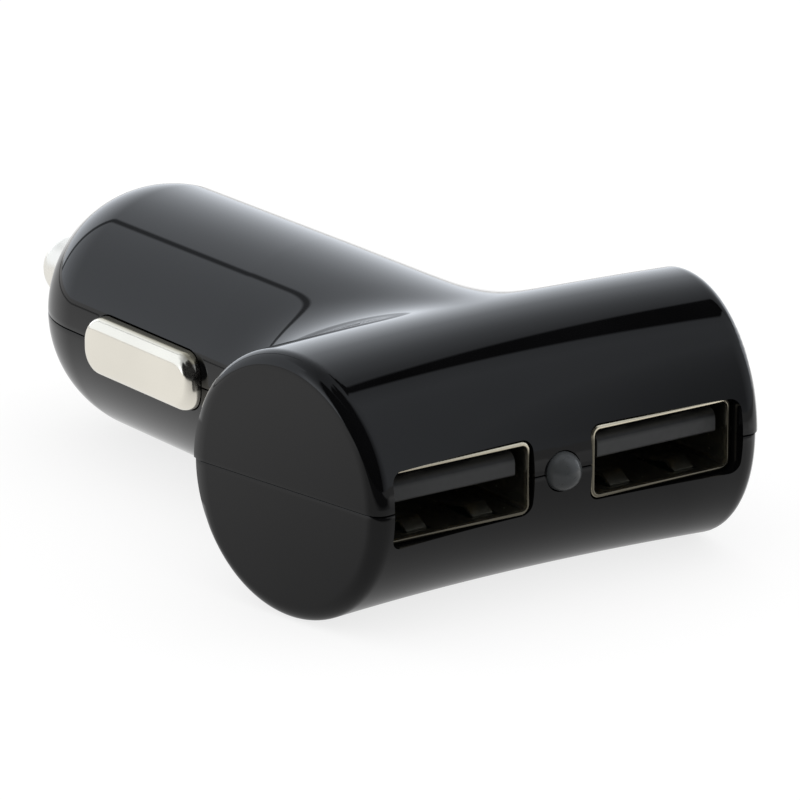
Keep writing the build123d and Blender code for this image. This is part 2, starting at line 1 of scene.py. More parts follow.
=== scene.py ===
"""Car charger plug with two ports: the dressed model, laid out as an add-on and run as a script."""
import json
from math import acos, atan2, copysign, cos, hypot, pi, radians, sin, sqrt

import bmesh
import bpy
from bpy.props import FloatProperty, FloatVectorProperty, PointerProperty
from mathutils import Matrix, Vector
from mathutils.kdtree import KDTree


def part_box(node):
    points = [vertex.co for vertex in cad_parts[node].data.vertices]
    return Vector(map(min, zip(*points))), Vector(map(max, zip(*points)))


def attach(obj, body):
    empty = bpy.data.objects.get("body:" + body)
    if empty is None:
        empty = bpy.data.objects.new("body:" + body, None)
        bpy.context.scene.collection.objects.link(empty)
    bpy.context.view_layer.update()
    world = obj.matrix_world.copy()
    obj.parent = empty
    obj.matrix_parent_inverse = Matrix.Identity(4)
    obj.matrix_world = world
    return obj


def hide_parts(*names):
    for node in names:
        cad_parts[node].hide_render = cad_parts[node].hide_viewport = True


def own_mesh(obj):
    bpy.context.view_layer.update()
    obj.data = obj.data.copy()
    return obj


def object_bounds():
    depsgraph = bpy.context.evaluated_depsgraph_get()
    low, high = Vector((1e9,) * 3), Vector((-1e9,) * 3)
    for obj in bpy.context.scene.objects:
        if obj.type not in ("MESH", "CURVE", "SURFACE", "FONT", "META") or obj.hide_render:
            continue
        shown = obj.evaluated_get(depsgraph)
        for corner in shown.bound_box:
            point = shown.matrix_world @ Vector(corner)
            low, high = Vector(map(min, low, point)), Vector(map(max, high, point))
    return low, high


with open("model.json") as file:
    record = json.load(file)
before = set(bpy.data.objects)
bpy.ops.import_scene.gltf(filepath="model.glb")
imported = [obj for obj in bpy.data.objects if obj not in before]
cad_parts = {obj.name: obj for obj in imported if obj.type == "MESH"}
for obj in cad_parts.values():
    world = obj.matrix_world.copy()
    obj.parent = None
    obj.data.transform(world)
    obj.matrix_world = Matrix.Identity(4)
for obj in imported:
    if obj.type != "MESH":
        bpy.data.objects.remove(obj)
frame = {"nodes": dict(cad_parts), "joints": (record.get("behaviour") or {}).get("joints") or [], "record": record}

bl_info = {
    "name": "Car charger plug",
    "version": (1, 0, 0),
    "blender": (4, 5, 0),
    "location": "View3D > Sidebar > Charger",
    "description": "Dresses the packed charger plug with its housing, contacts, ports and finishes",
    "category": "Object",
}

MM = 0.001
CAD_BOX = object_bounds()
MOUNTS = {mount["name"]: mount for mount in frame["record"]["mounts"]}
SLOTS = {part["node"]: part["material_slot"] for part in frame["record"]["subparts"]}
SIDES = ("left", "right")
# Points nearer to each other than this are one point
CLOSE = 1e-6
# Edges that turn by less than this are shaded smooth
SMOOTH_BELOW = radians(35)

# Place of the head's axis along the plug, in millimetres
HEAD_AXIS = -20.1
# Places of the ball that rolls round the barrel and leaves the hollow
HOLLOW_STEPS = 1800
# How fast the ball grows from the barrel's side to its top: full size is reached at 60 degrees
HOLLOW_RISE = 4 / 3
# A point is set on the hollow, or eased, within this many of the ball's radii
HOLLOW_REACH, EASE_REACH = 1.6, 1.1
# How often the housing's cage is divided
SKIN_ROUNDS = 5
# Rings of the cage along the barrel, measured from the head's axis, and its reach past the nose
CAGE_RINGS = (17 * MM, 27 * MM, 37 * MM, 45 * MM)
CAGE_REACH = 1.5 * MM
# Half width of the cage, width of its end rings and its nose, as shares of head, end edge and last ring
CAGE_WIDE, CAGE_END, CAGE_NOSE = 1.07, 1.5, 0.6
# Start and end of a side slot's cutter, as shares of the contact's distance from the axis
SLOT_CUT = (0.7, 1.2)
# The barrel narrows from this many of its radii along the plug
DRAFT_START = 2.2
# The upper half's end step sets in over this part of half the head
END_STEP_FROM, END_STEP_OVER = 0.6, 0.3
# Bends of a port's sprung finger near its free end: distance behind the mouth, share of the dip
FINGER_BENDS = ((2.9 * MM, 0.93), (2.4 * MM, 1.0), (2.1 * MM, 0.92), (1.15 * MM, 0.1))

# Level of the room in reflections, by the angle in degrees from the front over the top to the back
WALL_STEPS = (
    (0, 0.62), (76, 0.61), (84, 0.52), (92, 0.40), (103, 0.39), (110, 0.50), (116, 0.57), (123, 0.69),
    (131, 0.88), (139, 1.05), (144, 1.10), (149, 1.28), (157, 1.48), (165, 1.62), (180, 1.75),
)
WALL_TINT, WHITE = (0.94, 0.99, 1.06, 1), (1, 1, 1, 1)
# Dark gap in the ceiling: angle, softness and light left; half width, its change to the right and limits
GAP_ANGLE, GAP_SOFT, GAP_REST = 95.0, 2.0, 0.01
GAP_WIDE, GAP_TAPER, GAP_LEAST, GAP_MOST = 36.5, -50.0, 1.6, 14.5
# The gap sets in to the right of this place, this fast
GAP_START, GAP_ONSET = 0.4, 20.0
# Panels of the room: turn from the left back corner, rise, softness (degrees) and level
ROOM_PANELS = (
    ("left wall", -46, 13, -90, 44, 4, 1.02),
    ("corner seam", -47.8, -43.0, -2, 60, 1.4, 0.25),
    ("side light", -152, -109, -8, 24, 4, 1.8),
    ("dark front", 24, 145, -3, 53, 4, 0.01),
    ("dark front top", 43, 120, 50, 76, 4, 0.01),
    ("dark front edge", 40, 174, -30, 200, 38, 0.01),
)
# Painted glow of the floor in reflections, in place of its lit and shaded tones: how it changes along X (0) and Y
# (1): axis, from, to, level at each end
FLOOR_FALLS = (
    (0, 0.015, 0.05, 0.0, 0.8),
    (1, -0.03, 0.015, 0.43, 0.80),
    (1, -0.12, -0.06, -0.78, 0.0),
)
FLOOR_LEAST = 0.05
# Darker line on the floor in reflections: the way across it, its distance, half width and depth
LINE_WAY = (-0.34, 0.94, 0)
LINE_PLACE, LINE_HALF, LINE_DEPTH = 0.285, 0.045, 0.6
# The floor's own tones, which carry the shadow
FLOOR_TONES = (0.26, 0.28)

# Finishes of the inner pieces: name, colour, roughness, metal, change of colour, relief
INNER_FINISHES = {
    "spring_steel": ("spring_wire", (0.55, 0.55, 0.56), 0.25, 1.0),
    "spring_bronze": ("leaf_bronze", (0.72, 0.48, 0.28), 0.28, 1.0),
    "terminal_brass": ("terminal_brass", (0.78, 0.60, 0.30), 0.3, 1.0),
    "contact_gold": ("pin_gold", (0.90, 0.68, 0.30), 0.2, 1.0),
    "tinned_lead": ("tinned_lead", (0.70, 0.70, 0.69), 0.3, 1.0),
    "board": ("board_mask", (0.004, 0.012, 0.008), 0.4, 0.0, 0.3),
    "capacitor_can": ("can_aluminium", (0.62, 0.63, 0.65), 0.3, 1.0),
    "package_black": ("package_black", (0.018, 0.018, 0.018), 0.55, 0.0, 0.12, 0.3),
    "package_tan": ("package_tan", (0.42, 0.29, 0.17), 0.5, 0.0, 0.12, 0.2),
    "ferrite": ("ferrite_grey", (0.045, 0.045, 0.048), 0.6, 0.0, 0.12, 0.4),
    "copper_wire": ("enamelled_copper", (0.62, 0.24, 0.09), 0.3, 1.0),
}
# How far the roughness of every finish varies, as a share of it, and the depth of its relief
ROUGH_CHANGE, RELIEF_DEPTH = 0.3, 0.05 * MM
HOUSING_IOR = 1.42
# Names of the sums in nodes by their signs, and of the shader's node
SIGNS = {"+": "ADD", "-": "SUBTRACT", "*": "MULTIPLY", "/": "DIVIDE"}
SHADER = "Principled BSDF"
# Painted shade of the outer finishes behind their fronts: depth and colour factor
FULL = (1.0, 1.0, 1.0)
# Painted shade: a cap is darker on its rounded edge and sides behind its face
CAP_PAINTED_SHADE = ((0, FULL), (0.42 * MM, FULL), (0.8 * MM, (0.42, 0.40, 0.34)))
# Painted shade: the pin is darker along its top
PIN_PAINTED_SHADE = ((0, (0.75, 0.75, 0.75)), (0.3 * MM, (0.79, 0.79, 0.79)), (1.0 * MM, FULL))
# Painted shade: a port's sheet is darker on its front face and inside the mouth
FRONT_PAINTED_SHADE, INSIDE_PAINTED_SHADE = (0.22, 0.22, 0.22), (0.56, 0.60, 0.66)
SHEET_PAINTED_SHADE = ((0, FRONT_PAINTED_SHADE), (0.03 * MM, FRONT_PAINTED_SHADE), (0.08 * MM, FULL), (0.2 * MM, FULL), (0.5 * MM, INSIDE_PAINTED_SHADE))
# Painted shade: the tongue is darker behind its front face
TONGUE_PAINTED_SHADE = ((0, FULL), (0.07 * MM, (0.2, 0.2, 0.2)))
# Painted light on caps and sheets, bright from one height to another: heights between which this sets in, share of
# the depth, fading
# Painted light: a cap keeps its full colour below its top, so only its upper side is painted dark
CAP_PAINTED_LIGHT = (1.9 * MM, 1.5 * MM, 1.5)
# Painted highlight: a sheet's top rim is kept bright near the mouth
SHEET_PAINTED_LIGHT = (1.5 * MM, 2.6 * MM, 0.5)
PAINTED_LIGHT_FADE = 4.0


def mm(label, text, value):
    """A size, given in millimetres."""
    return FloatProperty(name=label, description=text, default=value * MM, unit="LENGTH", subtype="DISTANCE")


def turn(label, text, value):
    """An angle, given in degrees."""
    return FloatProperty(name=label, description=text, default=radians(value), subtype="ANGLE")


def share(label, text, value):
    """A number from 0 to 1."""
    return FloatProperty(name=label, description=text, default=value, min=0.0, max=1.0, subtype="FACTOR")


def tint(label, text, value):
    """A linear colour."""
    return FloatVectorProperty(
        name=label, description=text, default=value, size=3, min=0, max=1, subtype="COLOR"
    )


class HousingSizes(bpy.types.PropertyGroup):
    """The moulded housing, measured from the point where the head's axis meets the plug's axis."""

    axis_y: mm("Head axis", "Place of the head's axis along the plug", HEAD_AXIS)
    head_radius: mm("Head radius", "Radius of the bent bar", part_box("upper_shell")[1].z / MM)
    head_bend: mm("Head bend", "Radius to which the bar is bent", 133)
    head_half: mm("Half head", "Half the bar's length along its bend", 19.15)
    head_edge: mm("End edge", "Rounding of the bar's ends", 1.2)
    barrel_radius: mm("Barrel radius", "Radius of the barrel", MOUNTS["plug_barrel"]["dims"]["r_mm"])
    barrel_draft: mm("Barrel draft", "Narrowing towards the nose", 0.1)
    nose_front: mm("Nose front", "Front of the nose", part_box("upper_shell")[1].y / MM - HEAD_AXIS)
    nose_length: mm("Nose length", "Length of the rounded nose", 8.7)
    nose_flat: mm("Nose flat", "Radius of the flat round the tip", 2.8)
    blend_top: mm("Blend over the top", "Radius of the hollow above and below the barrel", 13.8)
    blend_side: mm("Blend at the sides", "Radius of the hollow beside the barrel", 10.4)
    wall: mm("Wall", "Thickness of the housing's wall", 1.6)
    rim_edge: mm("Parting edge", "Bevel where the halves meet", 0.04)
    rim_gap: mm("Parting gap", "Space between the halves' outer edges", 0.1)
    end_step: mm("End step", "Reach of the upper half's ends past the lower's", 0.17)
    ease: mm("Easing", "Half the strip where the hollow's curve sets in", 2.2)


class OpeningSizes(bpy.types.PropertyGroup):
    """The openings cut through the housing."""

    port_gap_side: mm("Port side gap", "Space beside the port's sheet", 0.15)
    port_gap_top: mm("Port top gap", "Space over the port's sheet", 0.1)
    port_corner: mm("Port corner", "Corner radius of the port's cut-out", 0.9)
    lamp_radius: mm("Lamp hole", "Radius of the lamp's hole", 1.6)
    tip_radius: mm("Tip bore", "Radius of the tip's bore", 2.72)
    slot_gap: mm("Slot gap", "Space round a side contact", 0.1)
    slot_corner: mm("Slot corner", "Corner radius of a side slot", 2.2)


class ContactSizes(bpy.types.PropertyGroup):
    """The sprung contacts of the barrel."""

    cap_corner: mm("Cap corner", "Corner radius of a side cap", 2.08)
    cap_edge: mm("Cap edge", "Rounding of a side cap's face", 1.05)
    cap_extra: mm("Cap reach", "Reach of a cap's face past the solid's", 0.2)
    cap_under: mm("Cap underside", "Rise of a cap's underside over the solid's", 0.15)
    cap_crown: mm("Cap crown", "Rise of a side cap's face at its middle", 0.05)
    cap_step: mm("Crown step", "Width of each of the crown's three steps", 0.25)
    cap_sheet: mm("Cap sheet", "Thickness of a side cap's sheet", 0.45)
    ear_length: mm("Ear length", "Reach of an ear from a cap", 1.3)
    ear_half: mm("Half ear", "Half an ear's height", 2.0)
    ear_edge: mm("Ear edge", "Rounding of an ear's edges", 0.08)
    leaf_half: mm("Half leaf room", "Half the height of the leaf spring's notch", 1.3)
    leaf_room: mm("Leaf room", "Depth of that notch", 1.0)
    tip_radius: mm("Tip radius", "Radius of the pin at the nose", 2.6)
    tip_round: mm("Tip rounding", "Rounding of the pin's end", 1.9)
    tip_extra: mm("Tip reach", "Reach of the pin's end past the solid's", 0.55)
    tip_flange: mm("Tip flange", "Thickness of the pin's flange", 1.2)
    tip_spigot: mm("Tip spigot", "Radius of the spigot in the spring", 1.6)


class PortSizes(bpy.types.PropertyGroup):
    """The charging ports and the lamp between them."""

    sheet: mm("Port sheet", "Thickness of the folded sheet", 0.3)
    corner: mm("Sheet corner", "Outer corner radius of the sheet", 0.8)
    mouth_round: mm("Mouth rounding", "Rounding of the sheet's outer front edge", 0.2)
    mouth_burr: mm("Mouth burr", "Rounding of the sheet's inner front edge", 0.04)
    window_corner: mm("Window corner", "Corner radius of a finger's window", 0.2)
    finger_place: mm("Finger place", "Distance of a finger from the port's middle", 3.0)
    finger_width: mm("Finger width", "Width of a sprung finger", 1.8)
    finger_length: mm("Finger length", "Length of a sprung finger", 5.2)
    finger_dip: mm("Finger dip", "Bend of a finger into the port", 0.75)
    leg_width: mm("Leg width", "Width of a solder leg", 1.8)
    leg_edge: mm("Leg edge", "Rounding of a solder leg's edges", 0.05)
    tongue_half: mm("Half tongue", "Half the tongue's width", 5.55)
    tongue_low: mm("Tongue underside", "Height of the tongue's underside", 0.07)
    tongue_high: mm("Tongue top", "Height of the tongue's top", 1.91)
    tongue_brow: mm("Tongue brow", "Rounding of the tongue's upper front edge", 0.8)
    tongue_lip: mm("Tongue lip", "Rounding of the tongue's lower front edge", 0.25)
    block_depth: mm("Block depth", "Depth of the block behind the tongue", 2.6)
    lamp_radius: mm("Lamp radius", "Radius of the lamp", 1.5)
    lamp_extra: mm("Lamp reach", "Reach of the dome past the solid's", 0.55)
    lamp_flange: mm("Lamp flange", "Thickness of the lamp's rim", 1.0)


class StudioSettings(bpy.types.PropertyGroup):
    """The camera's place and the light."""

    azimuth: turn("Azimuth", "Camera's turn about Z", -35.594)
    elevation: turn("Elevation", "Camera's height angle", 17.407)
    distance: mm("Distance", "From camera to head", 544.941)
    shift_side: mm("Side step", "Camera's step to its right", -6.121)
    shift_up: mm("Up step", "Camera's step up", 2.780)
    focal: FloatProperty(name="Lens", description="For a 36 mm sensor", default=326.93, unit="CAMERA")
    room_light: share("Room light", "Strength of the plain white room", 0.9)
    floor_lift: share("Floor lift", "Glow that brings the floor up to white", 0.79)
    corner_turn: turn("Back corner", "Turn of the room's left back corner", 230)


class FinishColours(bpy.types.PropertyGroup):
    """Colours of the outer finishes."""

    housing: tint("Housing", "Gloss black plastic", (0.0030, 0.0030, 0.0033))
    nickel: tint("Nickel", "Plated contacts", (0.94, 0.90, 0.80))
    pin: tint("Pin", "Satin plating of the pin", (0.98, 0.945, 0.875))
    port_steel: tint("Port steel", "Tinned sheet of the ports", (0.90, 0.82, 0.64))
    port_black: tint("Port black", "Moulded tongue", (0.043, 0.044, 0.045))
    lamp: tint("Lamp", "Clouded lens", (0.053, 0.057, 0.059))


# Materials


def new_nodes(name):
    """A new material, its nodes and its shader."""
    material = bpy.data.materials.new(name)
    material.use_nodes = True
    tree = material.node_tree
    return material, tree, tree.nodes[SHADER]


def add(tree, kind, **values):
    """A shader node of a kind, with some of its inputs or settings filled in."""
    node = tree.nodes.new("ShaderNode" + kind)
    for key, value in values.items():
        if hasattr(node, key):
            setattr(node, key, value)
        else:
            node.inputs[key.replace("_", " ").title()].default_value = value
    return node


def feed(tree, socket, value):
    """Give an input a socket to follow, or a value of its own."""
    if isinstance(value, bpy.types.NodeSocket):
        tree.links.new(value, socket)
    else:
        socket.default_value = value


def maths(tree, operation, first, second=None, clamp=False):
    """A sum in nodes, by its sign or its name; each side is a socket or a number."""
    node = add(tree, "Math", operation=SIGNS.get(operation, operation), use_clamp=clamp)
    feed(tree, node.inputs[0], first)
    if second is not None:
        feed(tree, node.inputs[1], second)
    return node.outputs[0]


def in_degrees(tree, angle):
    """An angle in degrees."""
    return maths(tree, "*", angle, 180 / pi)


def split(tree, vector):
    """The three parts of a vector."""
    parts = add(tree, "SeparateXYZ")
    feed(tree, parts.inputs[0], vector)
    return parts.outputs


def stepped(tree, value, stops):
    """A ramp over a value from 0 to 1, by stops given as place and colour."""
    ramp = add(tree, "ValToRGB")
    elements = ramp.color_ramp.elements
    while len(elements) < len(stops):
        elements.new(0.5)
    for element, (place, colour) in zip(elements, stops):
        element.position, element.color = place, (*colour, 1)
    feed(tree, ramp.inputs["Fac"], value)
    return ramp.outputs["Color"]


def mixed(tree, way, first, second, amount=1.0):
    """Two colours mixed; each is a socket or a colour."""
    node = add(tree, "Mix", data_type="RGBA", blend_type=way)
    for index, value in ((0, amount), (6, first), (7, second)):
        feed(tree, node.inputs[index], value)
    return node.outputs[2]


def new_group(name, **ends):
    """A new node group and the nodes at its ends, whose sockets are all numbers."""
    group = bpy.data.node_groups.new(name, "ShaderNodeTree")
    for way, labels in ends.items():
        for label in labels:
            group.interface.new_socket(label, in_out=way, socket_type="NodeSocketFloat")
    return group, *(group.nodes.new("NodeGroup" + way.title()) for way in ends)


def surface_variation():
    """Group: slow and fine unevenness of a made surface, as two values round one half and a height."""
    name = "surface_variation"
    if name in bpy.data.node_groups:
        return bpy.data.node_groups[name]
    group, end = new_group(name, OUTPUT=("Slow", "Fine", "Height"))
    place = add(group, "TexCoord").outputs["Object"]
    for output, scale, detail in (("Slow", 120.0, 3.0), ("Fine", 2500.0, 4.0)):
        noise = add(group, "TexNoise", scale=scale, detail=detail)
        feed(group, noise.inputs["Vector"], place)
        feed(group, end.inputs[output], noise.outputs["Fac"])
    feed(group, end.inputs["Height"], maths(group, "*", noise.outputs["Fac"], 0.5))
    return group


def varied(name, colour, rough, metallic=0.0, colour_change=0.12, bump=0.0):
    """A finish whose colour drifts slowly over the piece, with fine unevenness in its roughness."""
    material, tree, shader = new_nodes(name)
    group = add(tree, "Group", node_tree=surface_variation())
    low = [channel * (1 - colour_change) for channel in colour]
    high = [min(1.0, channel * (1 + colour_change)) for channel in colour]
    drift = stepped(tree, group.outputs["Slow"], ((0.3, low), (0.7, high)))
    feed(tree, shader.inputs["Base Color"], drift)
    least, most = rough * (1 - ROUGH_CHANGE), rough * (1 + ROUGH_CHANGE)
    spread = add(tree, "MapRange", to_min=least, to_max=most)
    feed(tree, spread.inputs["Value"], group.outputs["Fine"])
    feed(tree, shader.inputs["Roughness"], spread.outputs["Result"])
    shader.inputs["Metallic"].default_value = metallic
    if bump:
        relief = add(tree, "Bump", strength=bump, distance=RELIEF_DEPTH)
        feed(tree, relief.inputs["Height"], group.outputs["Height"])
        feed(tree, shader.inputs["Normal"], relief.outputs["Normal"])
    return material


def painted_shade_by_depth(material, axis, front, tones, painted_light=None):
    """Paint shade into a finish by the depth behind a face, by tones given as depth and colour factor.

    Depth runs inwards from both sides (X), back from the mouth (Y) or down from the top (Z).
    Painted light keeps the finish bright from one height to another, down to a share of the depth.
    """
    tree = material.node_tree
    x, y, z = split(tree, add(tree, "TexCoord").outputs["Object"])
    spot = {"X": maths(tree, "ABSOLUTE", x), "Y": y, "Z": z}[axis]
    way = 1 if axis == "Y" else -1
    reach = tones[-1][0]
    depth = maths(tree, "/", maths(tree, "-", spot, front), way * reach, clamp=True)
    tone = stepped(tree, depth, [(place / reach, colour) for place, colour in tones])
    # Painted light: the tone is lifted by height near the front
    if painted_light:
        low, high, until = painted_light
        lit_by_height = maths(tree, "/", maths(tree, "-", z, low), high - low, clamp=True)
        near = maths(tree, "*", maths(tree, "-", until, depth), PAINTED_LIGHT_FADE, clamp=True)
        tone = mixed(tree, "LIGHTEN", tone, maths(tree, "*", lit_by_height, near))
    base = tree.nodes[SHADER].inputs["Base Color"]
    feed(tree, base, mixed(tree, "MULTIPLY", base.links[0].from_socket, tone))


def finishes(colours, contacts):
    """Every finish of the part, by its slot."""
    made = {slot: varied(*look) for slot, look in INNER_FINISHES.items()}
    made["housing"] = varied("gloss_black", colours.housing, 0.045, colour_change=0.2)
    made["housing"].node_tree.nodes[SHADER].inputs["IOR"].default_value = HOUSING_IOR
    made["nickel"] = varied("nickel_plate", colours.nickel, 0.15, 1.0, colour_change=0.04)
    cap_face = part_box("side_contact_right")[1].x + contacts.cap_extra
    painted_shade_by_depth(made["nickel"], "X", cap_face, CAP_PAINTED_SHADE, CAP_PAINTED_LIGHT)
    made["pin_nickel"] = varied("pin_nickel", colours.pin, 0.32, 1.0, colour_change=0.04)
    painted_shade_by_depth(made["pin_nickel"], "Z", contacts.tip_radius, PIN_PAINTED_SHADE)
    made["port_steel"] = varied("port_sheet", colours.port_steel, 0.24, 1.0)
    painted_shade_by_depth(made["port_steel"], "Y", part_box("usb_shell_left")[0].y, SHEET_PAINTED_SHADE, SHEET_PAINTED_LIGHT)
    made["port_black"] = varied("port_tongue", colours.port_black, 0.5, bump=0.2)
    painted_shade_by_depth(made["port_black"], "Y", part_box("usb_insulator_left")[0].y, TONGUE_PAINTED_SHADE)
    made["lamp_lens"] = varied("lamp_lens", colours.lamp, 0.3)
    return made


def finish_of(slot):
    """The finish of a slot, made on first use."""
    names = {material.get("slot"): material for material in bpy.data.materials}
    if slot not in names:
        scene = bpy.context.scene
        for name, material in finishes(scene.charger_colours, scene.charger_contacts).items():
            material["slot"] = name
            names[name] = material
    return names[slot]


# Mesh helpers


def as_object(name, bm):
    """A new object from a bmesh, which is freed."""
    mesh = bpy.data.meshes.new(name)
    bm.to_mesh(mesh)
    bm.free()
    piece = bpy.data.objects.new(name, mesh)
    bpy.context.scene.collection.objects.link(piece)
    return piece


def discard(piece):
    """Remove a helper object and its mesh."""
    mesh = piece.data
    bpy.data.objects.remove(piece)
    bpy.data.meshes.remove(mesh)


def evaluated(piece):
    """A bmesh of an object with its modifiers applied; the object goes."""
    shown = piece.evaluated_get(bpy.context.evaluated_depsgraph_get())
    mesh = bpy.data.meshes.new_from_object(shown)
    bm = bmesh.new()
    bm.from_mesh(mesh)
    bpy.data.meshes.remove(mesh)
    discard(piece)
    return bm


def cut_away(bm, cutters):
    """A bmesh with the shapes of another cut out of it; both are used up."""
    piece, cutters = as_object("uncut", bm), as_object("cutters", cutters)
    cut = piece.modifiers.new("openings", "BOOLEAN")
    cut.operation, cut.solver, cut.object = "DIFFERENCE", "EXACT", cutters
    bm = evaluated(piece)
    discard(cutters)
    return bm


def set_piece(name, bm, slot, body, *nodes, finish=None):
    """Finish a piece: shading, the material of its slot, its body, and hiding the nodes that it stands for."""
    for face in bm.faces:
        face.smooth = True
    for edge in bm.edges:
        edge.smooth = len(edge.link_faces) != 2 or edge.calc_face_angle(0.0) < SMOOTH_BELOW
    piece = as_object(name, bm)
    piece.data.materials.append(finish_of(finish or slot))
    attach(piece, body)
    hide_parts(*nodes)
    return piece


def welded(bm):
    """Merge doubles, then turn every face outwards."""
    bmesh.ops.remove_doubles(bm, verts=bm.verts, dist=CLOSE)
    bmesh.ops.recalc_face_normals(bm, faces=bm.faces)


def rounded(bm, edges, size, segments):
    """Round some edges."""
    bmesh.ops.bevel(
        bm, geom=edges, offset=size, offset_type="OFFSET", segments=segments,
        profile=0.5, affect="EDGES", material=-1,
    )


def plain_box(bm, low, high):
    """Box between two corners; gives its edges."""
    made = bmesh.ops.create_cube(bm, size=1.0)["verts"]
    low, high = Vector(low), Vector(high)
    bmesh.ops.scale(bm, vec=high - low, verts=made)
    bmesh.ops.translate(bm, vec=(low + high) / 2, verts=made)
    return list(dict.fromkeys(edge for vert in made for edge in vert.link_edges))


def rounded_bar(bm, low, high, along, corner, segments=8):
    """Box between two corners, with the four edges along one axis rounded."""
    edges = plain_box(bm, low, high)
    lengthwise = [e for e in edges if abs((e.verts[1].co - e.verts[0].co).normalized()[along]) > 0.9]
    rounded(bm, lengthwise, corner, segments)


def box_bar(bm, low, high, edge):
    """Box between two corners, with every edge slightly rounded."""
    rounded(bm, plain_box(bm, low, high), edge, 2)


def turned_rod(bm, radius, start, end, steps=64):
    """Closed cylinder on the plug's axis, turned half a step so that no corner meets the middle line."""
    spot = Matrix.Translation((0, (start + end) / 2, 0)) @ Matrix.Rotation(pi / 2, 4, "X")
    spot = spot @ Matrix.Rotation(pi / steps, 4, "Z")
    bmesh.ops.create_cone(
        bm, cap_ends=True, segments=steps, radius1=radius, radius2=radius, depth=end - start, matrix=spot
    )


def turned_piece(outline, steps=96):
    """Turned piece from points given as radius and place along the plug's axis."""
    bm = bmesh.new()
    verts = [bm.verts.new((radius, y, 0)) for radius, y in outline]
    edges = [bm.edges.new(pair) for pair in zip(verts, verts[1:])]
    bmesh.ops.spin(
        bm, geom=verts + edges, cent=(0, 0, 0), axis=(0, 1, 0), angle=2 * pi, steps=steps, use_merge=True
    )
    welded(bm)
    return bm


def quarter(radius, y, size, end, steps=10):
    """Points of a quarter circle round a place given as radius and distance along the axis."""
    turns = [end * step / steps for step in range(steps + 1)]
    return [(radius + size * cos(angle), y + size * sin(angle)) for angle in turns]


def soft_step(value):
    """A rise from 0 to 1 that starts and ends gently."""
    value = min(1.0, max(0.0, value))
    return value * value * (3 - 2 * value)


# Housing


